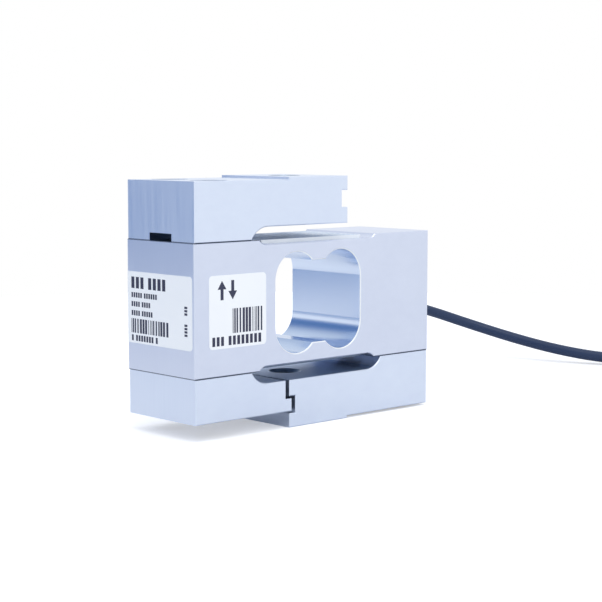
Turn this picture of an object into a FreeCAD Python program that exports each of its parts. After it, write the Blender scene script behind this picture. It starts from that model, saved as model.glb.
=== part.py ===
import FreeCAD, Part
import math
import os
import re
import Sketcher

from FreeCAD import Placement, Rotation, Vector

# S type load cell: a double-bending measuring beam between two offset loading arms.
# Frame: millimetres, +X along the 80 mm length, +Z up along the force axis. The origin is
# where the force axis meets the ground, at the middle of the footprint. The front is -Y.

# Driving dimensions, in millimetres.
SIZES = {
    # whole body
    "body_length": 80.0,
    "body_width": 26.0,
    "total_height": 62.0,
    "edge_chamfer": 0.25,
    # measuring beam
    "beam_bottom": 15.0,
    "beam_top": 47.0,
    "lobe_radius": 7.0,
    "lobe_offset_x": 7.5,
    "lobe_offset_z": 5.6,
    "web_half_height": 10.3,
    "pocket_depth": 1.1,
    "pocket_half_length": 17.4,
    "pocket_end_radius": 3.0,
    "entry_bore_radius": 2.6,
    "entry_bore_depth": 13.0,
    "wire_hole_radius": 1.0,
    "wire_hole_start": 15.6,
    # loading arms
    "arm_setback": 0.25,
    "arm_reach": 10.0,
    "pad_proud": 0.6,
    "recess_depth": 3.1,
    "recess_end_radius": 6.0,
    "recess_floor_start": 16.95,
    "groove_top": 3.6,
    "groove_height": 4.3,
    "groove_depth": 2.0,
    "channel_width": 8.4,
    "channel_depth": 1.9,
    "thread_radius": 3.4,
    "thread_chamfer": 0.8,
    # stop block under the free end of the beam
    "block_height": 10.9,
    "block_reach": 11.2,
    "tongue_length": 2.0,
    "tongue_height": 3.2,
    # M5 socket head screws
    "screw_inset": 9.0,
    "screw_spread": 7.5,
    "screw_radius": 2.5,
    "screw_clearance": 0.15,
    "head_radius": 4.25,
    "head_height": 5.0,
    "socket_flats": 4.0,
    "socket_depth": 2.6,
    "bore_radius": 4.5,
    "bore_depth": 5.5,
    "tapped_depth": 8.6,
    "arm_screw_length": 16.0,
    "block_screw_length": 12.0,
    # gauges, their terminals, leads and sealing
    "gauge_length": 6.0,
    "gauge_width": 4.0,
    "gauge_thickness": 0.1,
    "terminal_length": 3.9,
    "terminal_width": 9.0,
    "terminal_thickness": 0.4,
    "terminal_x": 11.6,
    "lead_radius": 0.6,
    "cover_half_length": 17.0,
    "cover_half_width": 10.4,
    "cover_thickness": 0.85,
    # labels
    "label_thickness": 0.08,
    "label_bottom": 21.7,
    "label_height": 17.5,
    "label_radius": 1.0,
    "front_label_start": 4.35,
    "front_label_length": 17.85,
    "end_label_inset": 0.8,
    "end_label_wrap": 14.0,
    # cable and its entry
    "cable_radius": 1.65,
    "relief_length": 3.0,
    "relief_base_radius": 3.3,
    "relief_tip_radius": 2.2,
    "relief_plug_length": 6.0,
    "relief_shoulder": 1.0,
    # wound part of the cable
    "coil_mean_radius": 19.8,
    "coil_rows": 5,
    "coil_layers": 5,
    "stub_length": 15.0,
    "tie_thickness": 0.5,
    "tie_width": 3.5,
    "tie_slack": 0.25,
    "tail_length": 5.0,
    "tail_offset": 16.5,
    "sleeve_start": -2.0,
    "sleeve_length": 10.0,
    "sleeve_radius": 2.05,
    "core_length": 16.0,
    "core_radius": 0.45,
    "core_circle": 1.05,
    "core_fan_angle": 9.0,
}

# Centre line of the cable from its entry to the coil, beside the body and down to the ground.
CABLE_ROUTE = [
    (40.0, 0.0, 31.0),
    (45.5, 0.0, 31.0),
    (53.7, 2.4, 30.6),
    (60.4, 8.5, 29.4),
    (66.6, 20.0, 27.1),
    (74.6, 31.6, 24.4),
    (85.0, 42.5, 21.3),
    (97.0, 49.0, 18.3),
    (109.5, 49.0, 15.1),
    (119.5, 40.5, 10.6),
    (126.0, 27.5, 6.7),
    (130.6, 13.4, 3.9),
    (136.2, -0.6, 2.15),
    (143.0, -13.4, 2.15),
]

CORES = ["white", "black", "blue", "red", "green", "grey"]
SCREW_SIDES = {"1": -1, "2": 1}
GAUGE_SIDES = {"left": -1, "right": 1}

doc = FreeCAD.newDocument("LoadCell")
sheet = doc.addObject("Spreadsheet::Sheet", "Sizes")
for row, (alias, number) in enumerate(SIZES.items(), start=1):
    sheet.set("A%d" % row, alias)
    sheet.set("B%d" % row, str(number))
    sheet.setAlias("B%d" % row, alias)
doc.recompute()

subparts = []


def bound(text):
    """An expression in which each size's name refers to its cell."""
    return re.sub(r"[a-z]\w*", lambda word: "Sizes." + word[0] if word[0] in SIZES else word[0], text)


def value(text):
    """The number that an expression of sizes has now."""
    return float(sheet.evalExpression(bound(text)))


def bind(thing, **expressions):
    """Tie properties to expressions of sizes; a double underscore stands for a dot."""
    for name, text in expressions.items():
        thing.setExpression(name.replace("__", "."), bound(text))


def keep(thing, label):
    """Count an object as a finished sub-part under its own label."""
    thing.Label = label
    subparts.append(thing)
    return thing


# ---------------------------------------------------------------- sketches and features

def new_body(name):
    return doc.addObject("PartDesign::Body", name)


def new_sketch(body, name, role, offset="0"):
    """A sketch on one of the body's own origin planes, moved along the plane's normal."""
    plane = [item for item in body.Origin.OriginFeatures if item.Role == role][0]
    sketch = body.newObject("Sketcher::SketchObject", name)
    sketch.AttachmentSupport = (plane, [""])
    sketch.MapMode = "FlatFace"
    sketch.setExpression("AttachmentOffset.Base.z", bound(offset))
    doc.recompute()
    return sketch


def pin(sketch, geometry, point, across, up):
    """Fix one point of a sketch at two expressions from the sketch's origin."""
    for kind, text in (("DistanceX", across), ("DistanceY", up)):
        index = sketch.addConstraint(Sketcher.Constraint(kind, -1, 1, geometry, point, value(text)))
        sketch.setExpression("Constraints[%d]" % index, bound(text))


def draw_outline(sketch, corners):
    """A closed outline. A corner is (across, up), or (across, up, radius, side) when an arc
    leads to it, with side 1 for a centre to the left of the way round and -1 to the right."""
    places = [Vector(value(corner[0]), value(corner[1]), 0) for corner in corners]
    starts = {}
    ends = {}
    arcs = []
    for index, corner in enumerate(corners):
        start = places[index - 1]
        end = places[index]
        if len(corner) == 2:
            geometry = sketch.addGeometry(Part.LineSegment(start, end), False)
            first, last = 1, 2
        else:
            radius, side = value(corner[2]), corner[3]
            middle = (start + end) * 0.5
            along = (end - start).normalize()
            left = Vector(-along.y, along.x, 0) * side
            half = (end - start).Length / 2
            centre = middle + left * math.sqrt(radius * radius - half * half)
            crown = centre - left * radius
            geometry = sketch.addGeometry(Part.Arc(start, crown, end), False)
            first, last = (1, 2) if side == 1 else (2, 1)
            arcs.append((geometry, corner[2]))
        starts[index] = (geometry, first)
        ends[index] = (geometry, last)
    for index, corner in enumerate(corners):
        following = (index + 1) % len(corners)
        sketch.addConstraint(Sketcher.Constraint("Coincident", *ends[index], *starts[following]))
        pin(sketch, *ends[index], corner[0], corner[1])
    for geometry, radius in arcs:
        index = sketch.addConstraint(Sketcher.Constraint("Radius", geometry, value(radius)))
        sketch.setExpression("Constraints[%d]" % index, bound(radius))


def draw_circle(sketch, across, up, radius):
    centre = Vector(value(across), value(up), 0)
    geometry = sketch.addGeometry(Part.Circle(centre, Vector(0, 0, 1), value(radius)), False)
    pin(sketch, geometry, 3, across, up)
    index = sketch.addConstraint(Sketcher.Constraint("Radius", geometry, value(radius)))
    sketch.setExpression("Constraints[%d]" % index, bound(radius))


def pad_both_ways(body, sketch, name, length):
    pad = body.newObject("PartDesign::Pad", name)
    pad.Profile = sketch
    pad.SideType = "Symmetric"
    pad.setExpression("Length", bound(length))
    doc.recompute()
    return pad


def pad_up(body, sketch, name, length):
    pad = body.newObject("PartDesign::Pad", name)
    pad.Profile = sketch
    pad.setExpression("Length", bound(length))
    doc.recompute()
    return pad


def cut(body, sketch, name, depth=None, upward=False):
    """Cut a sketch down from its plane, or up, or right through both ways if no depth is
    given; a cut that takes nothing away is an error."""
    before = body.Shape.Volume
    pocket = body.newObject("PartDesign::Pocket", name)
    pocket.Profile = sketch
    if depth is None:
        pocket.Type = "ThroughAll"
        pocket.SideType = "Symmetric"
    else:
        pocket.setExpression("Length", bound(depth))
        pocket.Reversed = upward
    doc.recompute()
    if body.Shape.Volume > before - 0.01:
        raise RuntimeError(name + " cuts nothing")
    return pocket


def bevel(body, name, size, wanted):
    """Chamfer the edges of the body's last feature that the test accepts."""
    base = body.Tip
    names = ["Edge%d" % (index + 1) for index, edge in enumerate(base.Shape.Edges) if wanted(edge)]
    chamfer = body.newObject("PartDesign::Chamfer", name)
    chamfer.Base = (base, names)
    chamfer.setExpression("Size", bound(size))
    doc.recompute()
    return chamfer


def on_side(edge, side):
    """Whether an edge lies in the front (-1) or back (1) face."""
    plane = side * SIZES["body_width"] / 2
    box = edge.BoundBox
    return abs(box.YMin - plane) < 1e-4 and abs(box.YMax - plane) < 1e-4


def is_outline(edge):
    return on_side(edge, -1) or on_side(edge, 1)


def mouth(radius):
    """A test for the full circles of one radius whose axis is upright."""
    def wanted(edge):
        curve = edge.Curve
        if curve.TypeId != "Part::GeomCircle":
            return False
        return abs(curve.Radius - value(radius)) < 1e-4 and abs(abs(curve.Axis.z) - 1) < 1e-4
    return wanted


# ---------------------------------------------------------------- the measuring beam

def build_beam():
    """The beam with its double-hole window, gauge pockets, tapped holes and cable entry."""
    body = new_body("spring_element")
    half = "body_length / 2"
    run = "(pocket_half_length + sqrt(pocket_end_radius ^ 2 - (pocket_end_radius - pocket_depth) ^ 2))"
    low_floor = "beam_bottom + pocket_depth"
    high_floor = "beam_top - pocket_depth"
    outline = new_sketch(body, "beam_outline", "XZ_Plane")
    draw_outline(outline, [
        ("-" + half, "beam_bottom"),
        ("-" + run, "beam_bottom"),
        ("-pocket_half_length", low_floor, "pocket_end_radius", -1),
        ("pocket_half_length", low_floor),
        (run, "beam_bottom", "pocket_end_radius", -1),
        (half, "beam_bottom"),
        (half, "beam_top"),
        (run, "beam_top"),
        ("pocket_half_length", high_floor, "pocket_end_radius", -1),
        ("-pocket_half_length", high_floor),
        ("-" + run, "beam_top", "pocket_end_radius", -1),
        ("-" + half, "beam_top"),
    ])
    pad_both_ways(body, outline, "beam", "body_width")

    middle = "(beam_bottom + beam_top) / 2"
    lobe = new_sketch(body, "lobe_outline", "XZ_Plane")
    left = "lobe_offset_x - lobe_radius"
    right = "lobe_offset_x + lobe_radius"
    low = middle + " - lobe_offset_z"
    high = middle + " + lobe_offset_z"
    draw_outline(lobe, [
        (left, low),
        ("lobe_offset_x", low + " - lobe_radius", "lobe_radius", 1),
        (right, low, "lobe_radius", 1),
        (right, high),
        ("lobe_offset_x", high + " + lobe_radius", "lobe_radius", 1),
        (left, high, "lobe_radius", 1),
    ])
    lobe_cut = cut(body, lobe, "right_lobe")
    mirrored = body.newObject("PartDesign::Mirrored", "left_lobe")
    mirrored.Originals = [lobe_cut]
    plane = [item for item in body.Origin.OriginFeatures if item.Role == "YZ_Plane"][0]
    mirrored.MirrorPlane = (plane, [""])
    body.Tip = mirrored
    doc.recompute()
    web = new_sketch(body, "web_outline", "XZ_Plane")
    draw_outline(web, [
        ("-lobe_offset_x", middle + " - web_half_height"),
        ("lobe_offset_x", middle + " - web_half_height"),
        ("lobe_offset_x", middle + " + web_half_height"),
        ("-lobe_offset_x", middle + " + web_half_height"),
    ])
    cut(body, web, "window_web")

    bevel(body, "beam_edges", "edge_chamfer", is_outline)

    screw_x = "body_length / 2 - screw_inset"
    for name, side_x, start, upward in (
            ("top_tapped", "-", "beam_top", False),
            ("bottom_left_tapped", "-", "beam_bottom", True),
            ("bottom_right_tapped", "", "beam_bottom", True)):
        holes = new_sketch(body, name + "_places", "XY_Plane", start)
        for side_y in ("-", ""):
            draw_circle(holes, side_x + "(" + screw_x + ")", side_y + "screw_spread", "screw_radius")
        cut(body, holes, name, "tapped_depth", upward)

    entry = new_sketch(body, "entry_bore_place", "YZ_Plane", half)
    draw_circle(entry, "0", middle, "entry_bore_radius")
    cut(body, entry, "entry_bore", "entry_bore_depth")

    for name, floor in (("top_wire_hole", high_floor), ("bottom_wire_hole", low_floor)):
        drill_wire_hole(body, name, floor, middle)
    return keep(body, "spring_element")


def drill_wire_hole(body, name, floor, middle):
    """A slanting hole from the end of a gauge pocket to the bottom of the cable entry."""
    before = body.Shape.Volume
    mouth_point = Vector(value("wire_hole_start"), 0, value(floor))
    bottom = Vector(value("body_length / 2 - entry_bore_depth + entry_bore_radius"), 0, value(middle))
    way = bottom - mouth_point
    drill = body.newObject("PartDesign::SubtractiveCylinder", name)
    bind(drill, Radius="wire_hole_radius")
    drill.Height = way.Length + value("wire_hole_radius")
    slant = Rotation(Vector(0, 0, 1), way)
    drill.Placement = Placement(mouth_point - way.normalize() * value("wire_hole_radius"), slant)
    doc.recompute()
    if body.Shape.Volume > before - 0.01:
        raise RuntimeError(name + " cuts nothing")


# ---------------------------------------------------------------- the loading arms

def build_arm(label, turned):
    """The upper arm: screwed down at its root, with a raised pad and the load thread at its
    tip. The lower arm is the same piece, turned half round about the middle of the beam."""
    body = new_body(label)
    root = "-(body_length / 2 - arm_setback)"
    recess_end = ("recess_floor_start + sqrt(recess_end_radius ^ 2"
                  " - (recess_end_radius - recess_depth) ^ 2)")
    top = "total_height - pad_proud"
    outline = new_sketch(body, label + "_outline", "XZ_Plane")
    draw_outline(outline, [
        (root, "beam_top"),
        ("-(" + recess_end + ")", "beam_top"),
        ("-recess_floor_start", "beam_top + recess_depth", "recess_end_radius", -1),
        ("arm_reach", "beam_top + recess_depth"),
        ("arm_reach", "total_height - groove_top - groove_height"),
        ("arm_reach - groove_depth", "total_height - groove_top - groove_height"),
        ("arm_reach - groove_depth", "total_height - groove_top"),
        ("arm_reach", "total_height - groove_top"),
        ("arm_reach", "total_height"),
        ("-arm_reach", "total_height"),
        ("-arm_reach", top),
        (root, top),
    ])
    pad_both_ways(body, outline, label + "_block", "body_width")
    bevel(body, label + "_edges", "edge_chamfer", is_outline)

    channel = new_sketch(body, label + "_channel_outline", "XY_Plane", "beam_top")
    draw_outline(channel, [
        (root + " - 1", "-channel_width / 2"),
        ("-recess_floor_start", "-channel_width / 2"),
        ("-recess_floor_start", "channel_width / 2"),
        (root + " - 1", "channel_width / 2"),
    ])
    cut(body, channel, label + "_channel", "channel_depth", upward=True)

    thread = new_sketch(body, label + "_thread_place", "XY_Plane", "total_height")
    draw_circle(thread, "0", "0", "thread_radius")
    cut(body, thread, label + "_thread", "total_height - beam_top")
    bevel(body, label + "_thread_mouths", "thread_chamfer", mouth("thread_radius"))

    drill_screw_holes(body, label, top, "bore_depth", top + " - beam_top")
    if turned:
        body.Placement = Placement(Vector(0, 0, value("total_height")), Rotation(Vector(0, 1, 0), 180))
        bind(body, Placement__Base__z="total_height")
    return keep(body, label)


def drill_screw_holes(body, label, top, bore, through):
    """Two counterbored holes side by side near the root, from the top face down."""
    screw_x = "-(body_length / 2 - screw_inset)"
    for name, radius, depth in (
            ("_counterbore", "bore_radius", bore),
            ("_screw_hole", "screw_radius + screw_clearance", through)):
        place = new_sketch(body, label + name + "_place", "XY_Plane", top)
        draw_circle(place, screw_x, "screw_spread", radius)
        hole = cut(body, place, label + name, depth)
        mirrored = body.newObject("PartDesign::Mirrored", label + name + "_pair")
        mirrored.Originals = [hole]
        plane = [item for item in body.Origin.OriginFeatures if item.Role == "XZ_Plane"][0]
        mirrored.MirrorPlane = (plane, [""])
        body.Tip = mirrored
        doc.recompute()


def build_stop_block(label):
    """The overload stop: its tongue stands with a gap all round in the lower arm's groove.
    It is drawn upside down, on the ground, and turned into its place under the beam."""
    body = new_body(label)
    root = "-(body_length / 2 - arm_setback)"
    recess_end = ("recess_floor_start + sqrt(recess_end_radius ^ 2"
                  " - (recess_end_radius - recess_depth) ^ 2)")
    nose = "-block_reach"
    outline = new_sketch(body, label + "_outline", "XZ_Plane")
    draw_outline(outline, [
        (root, "0"),
        ("-(" + recess_end + ")", "0"),
        ("-recess_floor_start", "recess_depth", "recess_end_radius", -1),
        (nose, "recess_depth"),
        (nose, "block_height - tongue_height"),
        (nose + " + tongue_length", "block_height - tongue_height"),
        (nose + " + tongue_length", "block_height"),
        (root, "block_height"),
    ])
    pad_both_ways(body, outline, label + "_solid", "body_width")
    bevel(body, label + "_edges", "edge_chamfer", is_outline)
    drill_screw_holes(body, label, "block_height", "bore_depth", "block_height")
    body.Placement = Placement(Vector(0, 0, value("beam_bottom")), Rotation(Vector(1, 0, 0), 180))
    bind(body, Placement__Base__z="beam_bottom")
    return keep(body, label)


# ---------------------------------------------------------------- screws

def build_screw(label, length, place_x, place_y, place_z, from_below):
    """A socket head cap screw, drawn with the seat of its head on the ground plane."""
    body = new_body(label)
    outline = new_sketch(body, label + "_outline", "XZ_Plane")
    draw_outline(outline, [
        ("0", "-" + length),
        ("screw_radius", "-" + length),
        ("screw_radius", "0"),
        ("head_radius", "0"),
        ("head_radius", "head_height"),
        ("0", "head_height"),
    ])
    turned = body.newObject("PartDesign::Revolution", label + "_turned")
    turned.Profile = outline
    turned.ReferenceAxis = (outline, ["V_Axis"])
    turned.Angle = 360
    doc.recompute()
    socket = new_sketch(body, label + "_socket_outline", "XY_Plane", "head_height")
    across = "socket_flats / sqrt(3)"
    half_flat = "socket_flats / 2"
    draw_outline(socket, [
        (across, "0"),
        (across + " / 2", half_flat),
        ("-" + across + " / 2", half_flat),
        ("-" + across, "0"),
        ("-" + across + " / 2", "-" + half_flat),
        (across + " / 2", "-" + half_flat),
    ])
    cut(body, socket, label + "_socket", "socket_depth")
    half_turn = Rotation(Vector(1, 0, 0), 180) if from_below else Rotation()
    body.Placement = Placement(Vector(0, 0, 0), half_turn)
    bind(body, Placement__Base__x=place_x, Placement__Base__y=place_y, Placement__Base__z=place_z)
    return keep(body, label)


def build_screws():
    near = "(body_length / 2 - screw_inset)"
    for number, side in SCREW_SIDES.items():
        spread = "%d * screw_spread" % side
        build_screw("upper_arm_screw_" + number, "arm_screw_length", "-" + near, spread,
                    "total_height - pad_proud - bore_depth", False)
        build_screw("lower_arm_screw_" + number, "arm_screw_length", near, spread,
                    "pad_proud + bore_depth", True)
        build_screw("stop_block_screw_" + number, "block_screw_length", "-" + near, spread,
                    "beam_bottom - block_height + bore_depth", True)


# ---------------------------------------------------------------- gauges, leads and sealing

def new_box(name, length, width, height, place_x, place_y, place_z):
    """A box by its three sizes and its lowest corner."""
    box = doc.addObject("Part::Box", name)
    bind(box, Length=length, Width=width, Height=height,
         Placement__Base__x=place_x, Placement__Base__y=place_y, Placement__Base__z=place_z)
    return box


def level(bottom, floor_top, floor_bottom, thickness):
    """The lowest height of a layer on the top pocket's floor or under the bottom one's."""
    return floor_bottom + " - " + thickness if bottom else floor_top


def build_bridge(side):
    """The gauges, terminal board, leads and sealing compound of the top or bottom pocket."""
    bottom = side == "bottom"
    floors = ("beam_top - pocket_depth", "beam_bottom + pocket_depth")
    embedded = []
    for name, sign in GAUGE_SIDES.items():
        gauge = new_box("strain_gauge_%s_%s" % (side, name), "gauge_length", "gauge_width",
                        "gauge_thickness", "%d * lobe_offset_x - gauge_length / 2" % sign,
                        "-gauge_width / 2", level(bottom, *floors, "gauge_thickness"))
        embedded.append(keep(gauge, "strain_gauge_%s_%s" % (side, name)))
    board = new_box("terminal_board_" + side, "terminal_length", "terminal_width",
                    "terminal_thickness", "terminal_x", "-terminal_width / 2",
                    level(bottom, *floors, "terminal_thickness"))
    embedded.append(keep(board, "terminal_board_" + side))
    leads = build_leads(side, floors[bottom])
    embedded.append(leads)

    blank = new_box("cover_blank_" + side, "2 * cover_half_length", "2 * cover_half_width",
                    "cover_thickness", "-cover_half_length", "-cover_half_width",
                    level(bottom, *floors, "cover_thickness"))
    inserts = doc.addObject("Part::MultiFuse", "cover_inserts_" + side)
    inserts.Shapes = embedded
    cover = doc.addObject("Part::Cut", "gauge_cover_" + side)
    cover.Base = blank
    cover.Tool = inserts
    doc.recompute()
    keep(cover, "gauge_cover_" + side)


def build_leads(side, floor):
    """The bundle of leads down the slanting wire hole, as far as the cable entry's plug."""
    mouth_point = Vector(value("wire_hole_start"), 0, value(floor))
    middle = value("(beam_bottom + beam_top) / 2")
    bottom_point = Vector(value("body_length / 2 - entry_bore_depth + entry_bore_radius"), 0, middle)
    way = bottom_point - mouth_point
    leads = doc.addObject("Part::Cylinder", "gauge_leads_" + side)
    bind(leads, Radius="lead_radius")
    leads.Height = way.Length - 2 * value("lead_radius")
    leads.Placement = Placement(mouth_point, Rotation(Vector(0, 0, 1), way))
    doc.recompute()
    return keep(leads, "gauge_leads_" + side)


# ---------------------------------------------------------------- labels

def build_front_label():
    """A film label with rounded corners on the front face of the beam."""
    body = new_body("front_label")
    left = "-body_length / 2 + front_label_start"
    outline = new_sketch(body, "front_label_outline", "XZ_Plane", "body_width / 2")
    draw_rounded(outline, left, "label_bottom", "front_label_length", "label_height", "label_radius")
    pad_up(body, outline, "front_label_film", "label_thickness")
    return keep(body, "front_label")


def draw_rounded(sketch, left, low, length, height, radius):
    """A rectangle with rounded corners, from its lowest corner and its two sizes."""
    right = left + " + " + length
    high = low + " + " + height
    draw_outline(sketch, [
        (left + " + " + radius, low, radius, 1),
        (right + " - " + radius, low),
        (right, low + " + " + radius, radius, 1),
        (right, high + " - " + radius),
        (right + " - " + radius, high, radius, 1),
        (left + " + " + radius, high),
        (left, high + " - " + radius, radius, 1),
        (left, low + " + " + radius),
    ])


def build_end_label():
    """A film label on the left end face, folded round the back edge onto the back face."""
    body = new_body("end_label")
    face = "-body_length / 2"
    back = "body_width / 2"
    outline = new_sketch(body, "end_label_plan", "XY_Plane", "label_bottom")
    corner = "edge_chamfer"
    bend = "label_thickness * (sqrt(2) - 1)"
    draw_outline(outline, [
        (face, "-body_width / 2 + end_label_inset"),
        (face, back + " - " + corner),
        (face + " + " + corner, back),
        (face + " + end_label_wrap", back),
        (face + " + end_label_wrap", back + " + label_thickness"),
        (face + " + " + corner + " - " + bend, back + " + label_thickness"),
        (face + " - label_thickness", back + " - " + corner + " + " + bend),
        (face + " - label_thickness", "-body_width / 2 + end_label_inset"),
    ])
    pad_up(body, outline, "end_label_film", "label_height")

    def free_corner(edge):
        box = edge.BoundBox
        short = abs(edge.Length - value("label_thickness")) < 1e-4
        flat = box.ZLength < 1e-4
        at_front = box.YMax < value("-body_width / 2 + end_label_inset") + 1e-3
        at_wrap = box.XMin > value("-body_length / 2 + end_label_wrap") - 1e-3
        return short and flat and (at_front or at_wrap)

    base = body.Tip
    names = ["Edge%d" % (index + 1) for index, edge in enumerate(base.Shape.Edges) if free_corner(edge)]
    corners = body.newObject("PartDesign::Fillet", "end_label_corners")
    corners.Base = (base, names)
    bind(corners, Radius="label_radius")
    doc.recompute()
    return keep(body, "end_label")


# ---------------------------------------------------------------- cable

def build_strain_relief():
    """A moulded grommet: a plug in the entry bore and a tapered sleeve round the cable."""
    body = new_body("cable_grommet")
    face = "body_length / 2"
    tip = face + " + relief_length"
    outline = new_sketch(body, "grommet_outline", "XY_Plane", "(beam_bottom + beam_top) / 2")
    draw_outline(outline, [
        (face + " - relief_plug_length", "0"),
        (face, "0"),
        (face, "cable_radius"),
        (tip, "cable_radius"),
        (tip, "relief_tip_radius"),
        (face + " + relief_shoulder", "relief_base_radius"),
        (face, "relief_base_radius"),
        (face, "entry_bore_radius"),
        (face + " - relief_plug_length", "entry_bore_radius"),
    ])
    turned = body.newObject("PartDesign::Revolution", "grommet_turned")
    turned.Profile = outline
    turned.ReferenceAxis = (outline, ["H_Axis"])
    turned.Angle = 360
    doc.recompute()
    return keep(body, "cable_grommet")


def rounded_path(points):
    """Straight runs joined by tangent arcs, each as large as its two runs allow."""
    share = 0.45
    edges = []
    radii = []
    here = points[0]
    for before, corner, after in zip(points, points[1:], points[2:]):
        towards = corner - before
        away = after - corner
        reach = share * min(towards.Length, away.Length)
        turn = towards.getAngle(away)
        radii.append(reach / math.tan(turn / 2))
        start = corner - towards.normalize() * reach
        end = corner + away.normalize() * reach
        inward = (start + end - corner * 2).normalize()
        depth = radii[-1] / math.cos(turn / 2) - radii[-1]
        edges.append(Part.LineSegment(here, start).toShape())
        edges.append(Part.Arc(start, corner + inward * depth, end).toShape())
        here = end
    edges.append(Part.LineSegment(here, points[-1]).toShape())
    return Part.Wire(edges), radii


def build_cable():
    """The free stretch of the cable, from the end face to the coil."""
    radius = value("cable_radius")
    path, radii = rounded_path([Vector(*point) for point in CABLE_ROUTE])
    ring = Part.Wire([Part.Circle(Vector(*CABLE_ROUTE[0]), Vector(1, 0, 0), radius).toShape()])
    tube = path.makePipeShell([ring], True, False)
    expected = math.pi * radius ** 2 * path.Length
    print("cable bend radii", [round(bend, 1) for bend in radii])
    print("cable length %.1f volume %.1f expected %.1f" % (path.Length, tube.Volume, expected))
    cable = doc.addObject("Part::Feature", "cable")
    cable.Shape = tube
    return keep(cable, "cable")


def coil_frame():
    """Where the coil lies: its own frame has the first turn's tangent along +X, in front."""
    before = Vector(*CABLE_ROUTE[-2])
    end = Vector(*CABLE_ROUTE[-1])
    way = (end - before).normalize()
    rotation = Rotation(Vector(1, 0, 0), way)
    outer = value("coil_mean_radius + (coil_rows - 1) * cable_radius")
    tangent = end + way * value("stub_length")
    centre = tangent + rotation.multVec(Vector(0, outer, 0))
    return Placement(Vector(centre.x, centre.y, 0), rotation)


def build_coil(frame):
    """The wound length as one ring, with the straight lead-in of its first turn."""
    half_width = "coil_rows * cable_radius"
    outer = doc.addObject("Part::Cylinder", "coil_outer")
    bind(outer, Radius="coil_mean_radius + " + half_width, Height="2 * coil_layers * cable_radius",
         Placement__Base__z="tie_thickness")
    inner = doc.addObject("Part::Cylinder", "coil_inner")
    bind(inner, Radius="coil_mean_radius - " + half_width, Height="2 * coil_layers * cable_radius",
         Placement__Base__z="tie_thickness")
    ring = doc.addObject("Part::Cut", "coil_ring")
    ring.Base = outer
    ring.Tool = inner
    slack = "edge_chamfer / 2"
    lead_in = new_box("coil_lead_in", "stub_length", "2 * cable_radius - " + slack, "2 * cable_radius",
                      "-stub_length", "-(coil_mean_radius + " + half_width + ") + " + slack,
                      "tie_thickness")
    coil = doc.addObject("Part::Fuse", "cable_coil")
    coil.Base = ring
    coil.Tool = lead_in
    coil.Placement = frame
    doc.recompute()
    return keep(coil, "cable_coil")


def build_tie(frame):
    """A flat tie drawn round the section of the coil."""
    half_width = "coil_rows * cable_radius"
    near = "coil_mean_radius - " + half_width + " - tie_slack"
    far = "2 * " + half_width + " + 2 * tie_slack"
    wrapped = "2 * coil_layers * cable_radius"
    outer = new_box("tie_outer", far + " + 2 * tie_thickness", "tie_width", wrapped + " + 2 * tie_thickness",
                    near + " - tie_thickness", "-tie_width / 2", "0")
    inner = new_box("tie_inner", far, "2 * tie_width", wrapped, near, "-tie_width", "tie_thickness")
    tie = doc.addObject("Part::Cut", "cable_tie")
    tie.Base = outer
    tie.Tool = inner
    tie.Placement = frame
    doc.recompute()
    return keep(tie, "cable_tie")


def build_cable_end(frame):
    """The cable's last stretch on top of the coil, its sleeve and its bare-ended cores."""
    top = value("tie_thickness + 2 * coil_layers * cable_radius")
    sleeve_start = Vector(value("sleeve_start"), value("tail_offset"), top + value("sleeve_radius"))
    leftward = Rotation(Vector(0, 1, 0), -90)

    def lying_cylinder(label, radius, length, begin, turn=Rotation()):
        cylinder = doc.addObject("Part::Cylinder", label)
        bind(cylinder, Radius=radius, Height=length)
        cylinder.Placement = frame.multiply(Placement(begin, turn.multiply(leftward)))
        return keep(cylinder, label)

    tail_start = sleeve_start + Vector(value("tail_length"), 0, 0)
    lying_cylinder("cable_tail", "cable_radius", "tail_length", tail_start)
    lying_cylinder("cable_end_sleeve", "sleeve_radius", "sleeve_length", sleeve_start)
    clear_of_sleeve = value("core_radius") * math.sin(math.radians(value("core_fan_angle")))
    cores_start = sleeve_start - Vector(value("sleeve_length") + clear_of_sleeve, 0, 0)
    for number, colour in enumerate(CORES):
        angle = 2 * math.pi * (number + 0.5) / len(CORES)
        across = math.sin(angle)
        offset = Vector(0, across, math.cos(angle)) * value("core_circle")
        fan = Rotation(Vector(0, 0, 1), -value("core_fan_angle") * across)
        lying_cylinder("core_" + colour, "core_radius", "core_length", cores_start + offset, fan)
    doc.recompute()


# ---------------------------------------------------------------- the whole part

def check_document():
    """Stop on any failed object and on any sub-part without a valid solid."""
    for item in doc.Objects:
        if "Invalid" in item.State or "Error" in item.State:
            raise RuntimeError("%s failed: %s" % (item.Name, item.State))
    for item in subparts:
        if item.Shape.isNull() or not item.Shape.isValid():
            raise RuntimeError(item.Label + " has no valid shape")


def build_all():
    build_beam()
    build_arm("upper_arm", turned=False)
    build_arm("lower_arm", turned=True)
    build_stop_block("stop_block")
    build_screws()
    build_bridge("top")
    build_bridge("bottom")
    build_front_label()
    build_end_label()
    build_strain_relief()
    build_cable()
    frame = coil_frame()
    build_coil(frame)
    build_tie(frame)
    build_cable_end(frame)


build_all()
doc.recompute()
check_document()
os.makedirs("parts", exist_ok=True)
for item in subparts:
    item.Shape.exportStep("parts/%s.step" % item.Label)
    print("%-26s volume %10.2f solids %d" % (item.Label, item.Shape.Volume, len(item.Shape.Solids)))
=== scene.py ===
import math

import bmesh
import bpy
from mathutils import Euler, Matrix, Vector


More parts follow.
